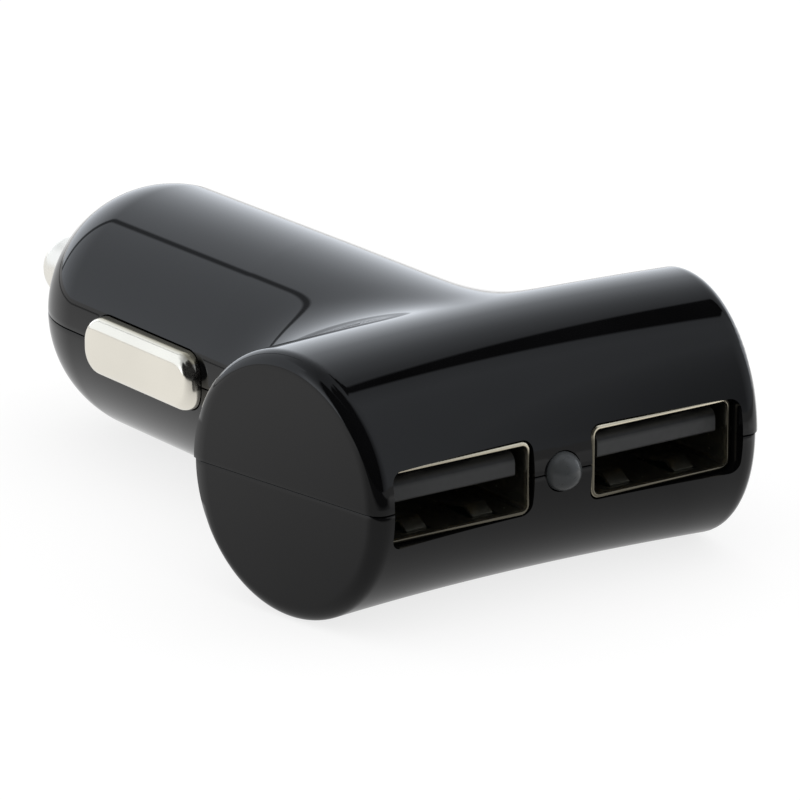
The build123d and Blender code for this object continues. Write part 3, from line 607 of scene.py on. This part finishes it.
class MouldedForm:
    """The housing's outer form: a bent round head, a barrel with a rounded nose, and the hollow between."""

    def __init__(self, sizes):
        self.sizes = sizes
        self.nose_start = sizes.nose_front - sizes.nose_length
        self.nose_radius = sizes.barrel_radius - sizes.barrel_draft
        self.spine = KDTree(HOLLOW_STEPS)
        self.balls = []
        for step in range(HOLLOW_STEPS):
            self.add_ball(step, 2 * pi * step / HOLLOW_STEPS)
        self.spine.balance()

    def add_ball(self, index, angle):
        """Place of a ball that touches barrel and head in their corner, at one angle round the barrel."""
        s = self.sizes
        blend = s.blend_side + (s.blend_top - s.blend_side) * soft_step(HOLLOW_RISE * sin(angle) ** 2)
        reach = s.barrel_radius + blend
        x, z = reach * cos(angle), reach * sin(angle)
        out = sqrt((s.head_radius + blend) ** 2 - z**2)
        y = sqrt((s.head_bend + out) ** 2 - x**2) - s.head_bend
        centre = Vector((x, y, z))
        to_barrel = Vector((-x, 0, -z)).normalized()
        to_head = (self.head_axis(centre) - centre).normalized()
        middle = (to_barrel + to_head).normalized()
        self.spine.insert(centre, index)
        self.balls.append((centre, blend, middle, middle.dot(to_barrel)))

    def nearest_ball(self, point):
        """The ball whose skin is nearest to a point."""
        index = self.spine.find(point)[1]
        for step in (1, -1):
            while self.skin_gap(point, index + step) < self.skin_gap(point, index):
                index += step
        return self.balls[index % HOLLOW_STEPS]

    def skin_gap(self, point, index):
        """Distance from a point to one ball's skin."""
        centre, blend = self.balls[index % HOLLOW_STEPS][:2]
        return (point - centre).length - blend

    def eased(self, point):
        """A point of the form, lifted where the hollow begins so that its curve sets in gradually."""
        centre, blend, middle, reach = self.nearest_ball(point)
        way = point - centre
        inside = (acos(reach) - acos(min(1.0, way.normalized().dot(middle)))) * blend
        ease = self.sizes.ease
        if inside < -ease or way.length > EASE_REACH * blend:
            return point
        inside = min(inside, ease)
        rise = (inside + ease) ** 3 / (12 * ease * blend) - max(0.0, inside) ** 2 / (2 * blend)
        return point - way.normalized() * rise

    def head_axis(self, point):
        """Nearest point on the head's bent axis."""
        bend = self.sizes.head_bend
        angle = atan2(point.x, point.y + bend)
        return Vector((bend * sin(angle), bend * cos(angle) - bend, 0))

    def onto_head(self, point):
        """How far outside the bent bar a point is, and the nearest point on the bar."""
        s = self.sizes
        bend, edge = s.head_bend, s.head_edge
        angle = atan2(point.x, point.y + bend)
        along = abs(angle) * bend
        out = hypot(point.x, point.y + bend) - bend
        across = max(hypot(out, point.z), 1e-9)
        core = (s.head_half - edge, s.head_radius - edge)
        past = (along - core[0], across - core[1])
        gap = max(past) - edge
        if past[0] > 0 and past[1] > 0:
            gap = hypot(*past) - edge
            new = [base + reach * edge / hypot(*past) for base, reach in zip(core, past)]
        elif past[0] > past[1]:
            new = (s.head_half, across)
        else:
            new = (along, s.head_radius)
        place = new[0] / bend * (1 if angle >= 0 else -1)
        ring = bend + out / across * new[1]
        return gap, Vector((ring * sin(place), ring * cos(place) - bend, point.z / across * new[1]))

    def onto_barrel(self, point):
        """How far outside the barrel a point is, and the nearest point on the barrel or its nose."""
        s = self.sizes
        radius = max(hypot(point.x, point.z), 1e-9)
        y = point.y
        if y < self.nose_start:
            start = s.barrel_radius * DRAFT_START
            taper = max(0.0, y - start) / (self.nose_start - start)
            new = s.barrel_radius - s.barrel_draft * taper
        elif radius < s.nose_flat:
            new, y = radius, s.nose_front
        else:
            wide = self.nose_radius - s.nose_flat
            spot = ((radius - s.nose_flat) / wide, (y - self.nose_start) / s.nose_length)
            size = hypot(*spot)
            new = s.nose_flat + wide * spot[0] / size
            y = self.nose_start + s.nose_length * spot[1] / size
        gap = (radius - new) if point.y < self.nose_start else (point.y - y) + (radius - new)
        return gap, Vector((point.x / radius * new, y, point.z / radius * new))

    def onto(self, point):
        """The point moved onto the form."""
        centre, blend, middle, reach = self.nearest_ball(point)
        way = (point - centre).normalized()
        if (point - centre).length < HOLLOW_REACH * blend and way.dot(middle) > reach:
            return centre + way * blend
        head_gap, on_head = self.onto_head(point)
        barrel_gap, on_barrel = self.onto_barrel(point)
        return on_barrel if point.y > 0 and barrel_gap < head_gap else on_head


def housing_cage(sizes):
    """Rough T-shaped box: the head, with the barrel drawn out of the middle of its back."""
    bm = bmesh.new()
    wide = sizes.head_radius * CAGE_WIDE
    bmesh.ops.create_cube(bm, size=2.0)
    bmesh.ops.scale(bm, vec=(sizes.head_half, wide, wide), verts=bm.verts)
    end_width = CAGE_END * sizes.head_edge
    end_loop = sizes.head_half - end_width
    for x in (-end_loop, -wide, wide, end_loop):
        everything = bm.verts[:] + bm.edges[:] + bm.faces[:]
        bmesh.ops.bisect_plane(bm, geom=everything, plane_co=(x, 0, 0), plane_no=(1, 0, 0))
    ends = [face for face in bm.faces if abs(face.normal.x) > 0.9]
    crease = bm.edges.layers.float.new("crease_edge")
    for face in ends:
        for edge in face.edges:
            edge[crease] = 1.0
    bmesh.ops.inset_individual(bm, faces=ends, thickness=end_width)
    bm.normal_update()
    back = [f for f in bm.faces if f.normal.y > 0.9 and abs(f.calc_center_median().x) < wide / 2][0]
    for ring in (*CAGE_RINGS, sizes.nose_front + CAGE_REACH):
        back = bmesh.ops.extrude_discrete_faces(bm, faces=[back])["faces"][0]
        step = ring - back.calc_center_median().y
        bmesh.ops.translate(bm, vec=(0, step, 0), verts=back.verts)
    bmesh.ops.scale(bm, vec=(CAGE_NOSE, 1, CAGE_NOSE), verts=back.verts)
    return bm


def housing_skin(sizes):
    """The cage divided again and again, with every point set on the moulded form each time."""
    form = MouldedForm(sizes)
    bm = housing_cage(sizes)
    for _ in range(SKIN_ROUNDS):
        cage = as_object("housing_cage", bm)
        rounding = cage.modifiers.new("rounding", "SUBSURF")
        rounding.levels = rounding.render_levels = 1
        bm = evaluated(cage)
        for vert in bm.verts:
            vert.co = form.onto(vert.co)
    for vert in bm.verts:
        vert.co = form.eased(vert.co)
    return bm


def opening_cutters(sizes, openings, contacts):
    """Closed shapes that cut the ports, the lamp's hole, the tip's bore and the side slots."""
    bm = bmesh.new()
    reach = 3 * sizes.wall
    gap, ears = openings.slot_gap, contacts.ear_length
    for side in SIDES:
        low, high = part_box("usb_shell_" + side)
        mid = MOUNTS["port_" + side]["pos_m"][0]
        half = (high.x - low.x) / 2 + openings.port_gap_side
        rise = high.z + openings.port_gap_top
        start, end = (mid - half, low.y - reach, -rise), (mid + half, low.y + reach, rise)
        rounded_bar(bm, start, end, 1, openings.port_corner)
        low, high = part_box("side_contact_" + side)
        face = high.x if side == "right" else low.x
        near, far = sorted(face * part for part in SLOT_CUT)
        start = (near, low.y + ears - gap, low.z + contacts.cap_under - gap)
        rounded_bar(bm, start, (far, high.y - ears + gap, high.z + gap), 0, openings.slot_corner)
    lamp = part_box("status_led")[0].y
    turned_rod(bm, openings.lamp_radius, lamp - sizes.wall, lamp + reach)
    nose = sizes.nose_front + sizes.axis_y
    turned_rod(bm, openings.tip_radius, nose - 4 * sizes.wall, nose + sizes.wall)
    return bm


def housing_half(node, skin, sizes, cutters, upper):
    """One half of the housing: cut at the parting plane, given its wall and its openings."""
    bm = skin.copy()
    bmesh.ops.translate(bm, vec=(0, sizes.axis_y, 0), verts=bm.verts)
    everything = bm.verts[:] + bm.edges[:] + bm.faces[:]
    parting = (0.5 if upper else -0.5) * sizes.rim_gap
    bmesh.ops.bisect_plane(
        bm, geom=everything, dist=CLOSE, plane_co=(0, 0, parting), plane_no=(0, 0, 1),
        clear_inner=upper, clear_outer=not upper,
    )
    if upper:
        for vert in bm.verts:
            out = soft_step((abs(vert.co.x) / sizes.head_half - END_STEP_FROM) / END_STEP_OVER)
            vert.co.x += copysign(sizes.end_step * out, vert.co.x)
    welded(bm)
    rim = [edge for edge in bm.edges if edge.is_boundary]
    bmesh.ops.solidify(bm, geom=bm.faces[:], thickness=sizes.wall)
    rounded(bm, [edge for edge in rim if edge.is_valid], sizes.rim_edge, 2)
    bm = cut_away(bm, cutters.copy())
    return set_piece(node + "_moulded", bm, "housing", "housing", node)


class CHARGER_OT_housing(bpy.types.Operator):
    """Mould both housing halves, cut their openings and set them on the frame"""

    bl_idname = "charger.housing"
    bl_label = "Housing halves"

    def execute(self, context):
        scene = context.scene
        sizes = scene.charger_housing
        skin = housing_skin(sizes)
        cutters = opening_cutters(sizes, scene.charger_openings, scene.charger_contacts)
        for name, upper in (("upper_shell", True), ("lower_shell", False)):
            housing_half(name, skin, sizes, cutters, upper)
        skin.free()
        cutters.free()
        return {"FINISHED"}


# Contacts, ports and lamp


def side_cap(side, sizes):
    """Drawn cap with rounded edges and a slight crown, open behind, with ears and room for the leaf."""
    node = "side_contact_" + side
    low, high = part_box(node)
    out = 1 if side == "right" else -1
    back, face = sorted((low.x, high.x), key=abs)
    face += out * sizes.cap_extra
    start, end = low.y + sizes.ear_length, high.y - sizes.ear_length
    bm = bmesh.new()
    near, far = sorted((back, face))
    corners = (near, start, low.z + sizes.cap_under), (far, end, high.z)
    rounded_bar(bm, *corners, 0, sizes.cap_corner, segments=12)
    welded(bm)
    front = max(bm.faces, key=lambda f: f.normal.x * out)
    behind = min(bm.faces, key=lambda f: f.normal.x * out)
    bmesh.ops.delete(bm, geom=[behind], context="FACES_ONLY")
    rounded(bm, front.edges[:], sizes.cap_edge, 7)
    front = max(bm.faces, key=lambda f: f.normal.x * out * f.calc_area())
    for step in (3, 2, 1):
        rise = sizes.cap_crown * step / 6
        bmesh.ops.inset_individual(bm, faces=[front], thickness=sizes.cap_step, depth=rise)
    bmesh.ops.solidify(bm, geom=bm.faces[:], thickness=sizes.cap_sheet)
    half, tall, sheet, edge = sizes.leaf_half, sizes.ear_half, sizes.cap_sheet, sizes.ear_edge
    notch = bmesh.new()
    near, far = sorted((back - out * sheet, back + out * sizes.leaf_room))
    box_bar(notch, (near, start - sheet, -half), (far, start + 2 * sheet, half), edge)
    bm = cut_away(bm, notch)
    near, far = sorted((back, back + out * sheet))
    for bottom, top in ((-tall, -half), (half, tall)):
        box_bar(bm, (near, start - sizes.ear_length, bottom), (far, start + sheet, top), edge)
    box_bar(bm, (near, end - sheet, -tall), (far, end + sizes.ear_length, tall), edge)
    return set_piece(node + "_cap", bm, "nickel", side + "_contact", node)


def tip_pin(sizes):
    """Turned pin with a rounded end, its flange and the spigot that sits in the spring."""
    low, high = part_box("tip_contact")
    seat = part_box("tip_spring")[1].y
    flange = seat + sizes.tip_flange
    end = high.y + sizes.tip_extra
    radius, rounding, spigot = sizes.tip_radius, sizes.tip_round, sizes.tip_spigot
    outline = [(0, low.y), (spigot, low.y), (spigot, seat)]
    outline += [(high.x, seat), (high.x, flange), (radius, flange)]
    outline += quarter(radius - rounding, end - rounding, rounding, pi / 2)
    outline.append((0, end))
    bm = turned_piece(outline)
    return set_piece("tip_contact_pin", bm, "nickel", "tip", "tip_contact", finish="pin_nickel")


def bent_finger(bm, x, width, points, sheet, side):
    """Strip bent along points given as place along the port and height, with its thickness inward."""
    inner = [(y, z - side * sheet) for y, z in reversed(points)]
    verts = [bm.verts.new((x - width / 2, y, z)) for y, z in points + inner]
    face = bm.faces.new(verts)
    made = bmesh.ops.extrude_face_region(bm, geom=[face])["geom"]
    bmesh.ops.translate(bm, vec=(width, 0, 0), verts=[v for v in made if isinstance(v, bmesh.types.BMVert)])


def port_shell(side, sizes):
    """Folded sheet mouth with a rounded front edge, four sprung fingers in windows and two solder legs."""
    node = "usb_shell_" + side
    low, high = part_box(node)
    top, front, mid = high.z, low.y, (low.x + high.x) / 2
    sheet, corner = sizes.sheet, sizes.corner
    bm = bmesh.new()
    rounded_bar(bm, (low.x, front, -top), (high.x, high.y, top), 1, corner)
    welded(bm)
    bmesh.ops.delete(bm, geom=[f for f in bm.faces if abs(f.normal.y) > 0.9], context="FACES_ONLY")
    bmesh.ops.solidify(bm, geom=bm.faces[:], thickness=sheet)
    at_front = [e for e in bm.edges if all(abs(v.co.y - front) < CLOSE for v in e.verts)]
    rims = [e for e in at_front if e.calc_face_angle(0) > 1]
    straight = ((high.x - low.x) / 2 - corner, top - corner)

    def past_corner(vert):
        """Distance from the straight part of the mouth's middle."""
        return hypot(max(abs(vert.co.x - mid) - straight[0], 0), max(abs(vert.co.z) - straight[1], 0))

    outer = [e for e in rims if past_corner(e.verts[0]) > corner - sheet / 2]
    inner = [e for e in rims if e not in outer]
    rounded(bm, outer, sizes.mouth_round, 5)
    rounded(bm, inner, sizes.mouth_burr, 2)
    root = front + sizes.finger_length + 4 * sheet
    half = sizes.finger_width / 2 + sheet
    windows = bmesh.new()
    places = [(mid + way * sizes.finger_place, up) for way in (-1, 1) for up in (-1, 1)]
    for x, up in places:
        under, over = sorted((up * (top - 2 * sheet), up * (top + sheet)))
        corners = (x - half, front + 3 * sheet, under), (x + half, root - sheet, over)
        rounded_bar(windows, *corners, 2, sizes.window_corner, segments=2)
    bm = cut_away(bm, windows)
    bends = [(root, 0), (front + sizes.finger_length, 0.1)]
    bends += [(front + place, dip) for place, dip in FINGER_BENDS]
    for x, up in places:
        points = [(y, up * (top - dip * sizes.finger_dip)) for y, dip in bends]
        bent_finger(bm, x, sizes.finger_width, points, sheet, up)
    start = (front + high.y) / 2
    for edge, way in ((low.x, 1), (high.x, -1)):
        near, far = sorted((edge, edge + way * sheet))
        box_bar(bm, (near, start, low.z), (far, start + sizes.leg_width, corner - top), sizes.leg_edge)
    bmesh.ops.recalc_face_normals(bm, faces=bm.faces)
    return set_piece(node + "_sheet", bm, "port_steel", "housing", node)


def port_tongue(side, sizes):
    """Moulded block at the port's back, with the tongue that carries the pins."""
    node = "usb_insulator_" + side
    low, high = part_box(node)
    mid, half = (low.x + high.x) / 2, sizes.tongue_half
    bm = bmesh.new()
    block = (low.x, high.y - sizes.block_depth, low.z)
    rounded_bar(bm, block, high, 1, sizes.corner - sizes.sheet)
    tongue = (mid - half, low.y, sizes.tongue_low)
    plain_box(bm, tongue, (mid + half, high.y - sizes.sheet, sizes.tongue_high))
    for level, size in ((sizes.tongue_high, sizes.tongue_brow), (sizes.tongue_low, sizes.tongue_lip)):
        front = [e for e in bm.edges if all(v.co.y < low.y + CLOSE for v in e.verts)]
        rounded(bm, [e for e in front if all(abs(v.co.z - level) < CLOSE for v in e.verts)], size, 6)
    return set_piece(node + "_block", bm, "port_black", "housing", node)


def lamp_dome(sizes):
    """Domed lamp with the rim that holds it behind the wall."""
    low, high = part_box("status_led")
    radius, rim = sizes.lamp_radius, high.y - sizes.lamp_flange
    outline = [(0, high.y), (high.x, high.y), (high.x, rim), (radius, rim)]
    outline += quarter(0, low.y - sizes.lamp_extra + radius, radius, -pi / 2, steps=16)
    return set_piece("status_led_dome", turned_piece(outline), "lamp_lens", "housing", "status_led")


def sprung_copy(node):
    """Copy of a modelled spring, with a mesh of its own."""
    bm = bmesh.new()
    bm.from_mesh(frame["nodes"][node].data)
    bmesh.ops.remove_doubles(bm, verts=bm.verts, dist=CLOSE)
    piece = set_piece(node + "_sprung", bm, SLOTS[node], "housing", node)
    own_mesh(piece)
    return piece


class CHARGER_OT_springs(bpy.types.Operator):
    """Copy the modelled springs that the joints list"""

    bl_idname = "charger.springs"
    bl_label = "Springs"

    def execute(self, context):
        for joint in frame["joints"]:
            for spring in joint["deforming_nodes"]:
                sprung_copy(spring["node"])
        return {"FINISHED"}


class CHARGER_OT_contacts(bpy.types.Operator):
    """Make the side caps and the pin at the nose"""

    bl_idname = "charger.contacts"
    bl_label = "Sprung contacts"

    def execute(self, context):
        sizes = context.scene.charger_contacts
        for side in SIDES:
            side_cap(side, sizes)
        tip_pin(sizes)
        return {"FINISHED"}


class CHARGER_OT_ports(bpy.types.Operator):
    """Make the ports' sheet mouths and moulded tongues, and the lamp"""

    bl_idname = "charger.ports"
    bl_label = "Ports and lamp"

    def execute(self, context):
        sizes = context.scene.charger_ports
        for side in SIDES:
            port_shell(side, sizes)
            port_tongue(side, sizes)
        lamp_dome(sizes)
        return {"FINISHED"}


class CHARGER_OT_finishes(bpy.types.Operator):
    """Give every piece that stays as modelled its finish"""

    bl_idname = "charger.finishes"
    bl_label = "Finishes"

    def execute(self, context):
        for name, node in frame["nodes"].items():
            node.data.materials.clear()
            node.data.materials.append(finish_of(SLOTS[name]))
        return {"FINISHED"}


# Stage


def panel_mask():
    """Group: how far a direction, as turn and rise in degrees, lies inside one panel of the room."""
    asked = ("Turn", "Rise", "Left", "Right", "Low", "High", "Soft")
    group, start, end = new_group("panel_mask", INPUT=asked, OUTPUT=("Mask",))
    inside = 1.0
    for upper, lower in (("Turn", "Left"), ("Right", "Turn"), ("Rise", "Low"), ("High", "Rise")):
        past = maths(group, "-", start.outputs[upper], start.outputs[lower])
        edge = maths(group, "/", past, start.outputs["Soft"], clamp=True)
        inside = maths(group, "*", edge, inside)
    feed(group, end.inputs["Mask"], inside)
    return group


def ceiling_gap(tree, x, tilt):
    """How dark the gap in the ceiling is, by the sideways part of a direction and its angle in degrees."""
    half = maths(tree, "+", maths(tree, "*", x, GAP_TAPER), GAP_WIDE)
    half = maths(tree, "MINIMUM", maths(tree, "MAXIMUM", half, GAP_LEAST), GAP_MOST)
    off = maths(tree, "ABSOLUTE", maths(tree, "-", tilt, GAP_ANGLE))
    gap = maths(tree, "/", maths(tree, "-", half, off), GAP_SOFT, clamp=True)
    onset = maths(tree, "*", maths(tree, "-", x, GAP_START), GAP_ONSET, clamp=True)
    return maths(tree, "*", gap, onset)


def room_level(tree, studio):
    """How bright the room's walls look in a reflection, by direction."""
    place = add(tree, "TexCoord").outputs["Generated"]
    x, y, z = split(tree, place)
    tilt = maths(tree, "ARCTAN2", z, maths(tree, "*", y, -1.0))
    steps = [(angle / 180, [level / 2] * 3) for angle, level in WALL_STEPS]
    walls = stepped(tree, maths(tree, "/", tilt, pi, clamp=True), steps)
    lit = maths(tree, "-", 1 + GAP_REST, ceiling_gap(tree, x, in_degrees(tree, tilt)))
    level = maths(tree, "*", maths(tree, "*", walls, 2.0), lit)
    turned = add(tree, "VectorRotate", rotation_type="Z_AXIS", angle=-studio.corner_turn)
    feed(tree, turned.inputs["Vector"], place)
    side, ahead, _ = split(tree, turned.outputs[0])
    bearing = in_degrees(tree, maths(tree, "ARCTAN2", side, maths(tree, "*", ahead, -1.0)))
    rise = in_degrees(tree, maths(tree, "ARCSINE", z))
    mask = panel_mask()
    for label, *limits, shade in ROOM_PANELS:
        panel = add(tree, "Group", node_tree=mask, label=label)
        for socket, value in zip(panel.inputs, (bearing, rise, *limits)):
            feed(tree, socket, value)
        blend = add(tree, "Mix")
        for index, value in ((0, panel.outputs["Mask"]), (2, level), (3, shade)):
            feed(tree, blend.inputs[index], value)
        level = blend.outputs[0]
    return level


def ray_kinds(tree):
    """Whether a ray shows the stage to the camera, and whether it is a reflection."""
    rays = add(tree, "LightPath").outputs
    return maths(tree, "MAXIMUM", rays["Is Camera Ray"], rays["Is Transmission Ray"]), rays["Is Glossy Ray"]


def white_room(studio):
    """Room light: white to the camera, plain for the pieces, and made of panels in reflections."""
    world = bpy.data.worlds.new("white_room")
    bpy.context.scene.world = world
    world.use_nodes = True
    tree = world.node_tree
    tree.nodes.clear()
    out = add(tree, "OutputWorld")
    seen, glossy = ray_kinds(tree)
    plain, walls, white = [add(tree, "Background") for _ in range(3)]
    for surface, colour in ((plain, WHITE), (walls, WALL_TINT), (white, WHITE)):
        surface.inputs["Color"].default_value = colour
    plain.inputs["Strength"].default_value = studio.room_light
    feed(tree, walls.inputs["Strength"], room_level(tree, studio))
    shown = plain.outputs[0]
    for ray, surface in ((glossy, walls), (seen, white)):
        choice = add(tree, "MixShader")
        for socket, value in zip(choice.inputs, (ray, shown, surface.outputs[0])):
            feed(tree, socket, value)
        shown = choice.outputs[0]
    feed(tree, out.inputs["Surface"], shown)


def mirrored_floor(tree, place):
    """Painted glow of the floor as seen in a reflection, by place."""
    axes = split(tree, place)
    level = 0.0
    for axis, near, far, low, high in FLOOR_FALLS:
        fall = add(tree, "MapRange", from_min=near, from_max=far, to_min=low, to_max=high)
        feed(tree, fall.inputs["Value"], axes[axis])
        level = maths(tree, "+", fall.outputs[0], level)
    level = maths(tree, "MAXIMUM", level, FLOOR_LEAST)
    away = add(tree, "VectorMath", operation="DOT_PRODUCT")
    feed(tree, away.inputs[0], place)
    feed(tree, away.inputs[1], LINE_WAY)
    off = maths(tree, "ABSOLUTE", maths(tree, "-", away.outputs["Value"], LINE_PLACE))
    line = maths(tree, "LESS_THAN", off, LINE_HALF)
    lit = maths(tree, "-", 1.0, maths(tree, "*", line, LINE_DEPTH))
    return maths(tree, "*", level, lit)


def pale_floor(studio):
    """Wide white floor that keeps the plug's shadow; in reflections it shows a painted glow that falls off towards
    the camera.
    """
    bm = bmesh.new()
    bmesh.ops.create_grid(bm, x_segments=4, y_segments=4, size=3.0)
    bmesh.ops.translate(bm, vec=(0, 0, CAD_BOX[0][2]), verts=bm.verts)
    floor = as_object("floor", bm)
    material, tree, shader = new_nodes("floor_white")
    shader.inputs["Roughness"].default_value = 0.9
    shader.inputs["Specular IOR Level"].default_value = 0.0
    seen, glossy = ray_kinds(tree)
    place = add(tree, "TexCoord").outputs["Object"]
    noise = add(tree, "TexNoise", detail=2.0, scale=3.0)
    feed(tree, noise.inputs["Vector"], place)
    tones = stepped(tree, noise.outputs["Fac"], [(end, [tone] * 3) for end, tone in enumerate(FLOOR_TONES)])
    tones = mixed(tree, "MIX", tones, (0, 0, 0, 1), glossy)
    feed(tree, shader.inputs["Base Color"], tones)
    shader.inputs["Emission Color"].default_value = WHITE
    # Painted glow, seen only in reflections
    mirrored = maths(tree, "*", glossy, mirrored_floor(tree, place))
    glow = maths(tree, "+", maths(tree, "*", seen, studio.floor_lift), mirrored)
    feed(tree, shader.inputs["Emission Strength"], glow)
    floor.data.materials.append(material)


def set_camera(studio):
    """Camera at the photograph's view."""
    az, el = studio.azimuth, studio.elevation
    back = Vector((sin(az) * cos(el), -cos(az) * cos(el), sin(el)))
    right = Vector((0, 0, 1)).cross(back).normalized()
    up = back.cross(right)
    target = Vector((0, bpy.context.scene.charger_housing.axis_y, 0))
    data = bpy.data.cameras.new("view")
    data.lens, data.sensor_width = studio.focal, 36.0
    data.clip_start, data.clip_end = 0.01, 50.0
    camera = bpy.data.objects.new("view", data)
    bpy.context.scene.collection.objects.link(camera)
    camera.location = target + right * studio.shift_side + up * studio.shift_up + back * studio.distance
    camera.rotation_euler = Matrix((right, up, back)).transposed().to_euler()
    bpy.context.scene.camera = camera


class CHARGER_OT_stage(bpy.types.Operator):
    """Set the white room, the floor and the camera"""

    bl_idname = "charger.stage"
    bl_label = "Stage"

    def execute(self, context):
        studio = context.scene.charger_studio
        context.scene.view_settings.view_transform = "Standard"
        white_room(studio)
        pale_floor(studio)
        set_camera(studio)
        return {"FINISHED"}


class CHARGER_PT_panel(bpy.types.Panel):
    """Lists the steps that dress the plug"""

    bl_idname = "CHARGER_PT_panel"
    bl_label = "Charger plug"
    bl_space_type = "VIEW_3D"
    bl_region_type = "UI"
    bl_category = "Charger"

    def draw(self, context):
        for operator in OPERATORS:
            self.layout.operator(operator.bl_idname)


GROUPS = {
    "charger_housing": HousingSizes,
    "charger_openings": OpeningSizes,
    "charger_contacts": ContactSizes,
    "charger_ports": PortSizes,
    "charger_studio": StudioSettings,
    "charger_colours": FinishColours,
}
OPERATORS = (
    CHARGER_OT_stage,
    CHARGER_OT_finishes,
    CHARGER_OT_housing,
    CHARGER_OT_contacts,
    CHARGER_OT_springs,
    CHARGER_OT_ports,
)


def register():
    """Add the settings, steps and panel."""
    for name, group in GROUPS.items():
        bpy.utils.register_class(group)
        setattr(bpy.types.Scene, name, PointerProperty(type=group))
    for operator in OPERATORS:
        bpy.utils.register_class(operator)
    bpy.utils.register_class(CHARGER_PT_panel)


def unregister():
    """Take them away again."""
    bpy.utils.unregister_class(CHARGER_PT_panel)
    for operator in reversed(OPERATORS):
        bpy.utils.unregister_class(operator)
    for name, group in reversed(GROUPS.items()):
        delattr(bpy.types.Scene, name)
        bpy.utils.unregister_class(group)


def main():
    """Dress the plug."""
    register()
    bpy.ops.charger.stage()
    bpy.ops.charger.finishes()
    bpy.ops.charger.housing()
    bpy.ops.charger.contacts()
    bpy.ops.charger.springs()
    bpy.ops.charger.ports()


if __name__ == "__main__":
    main()
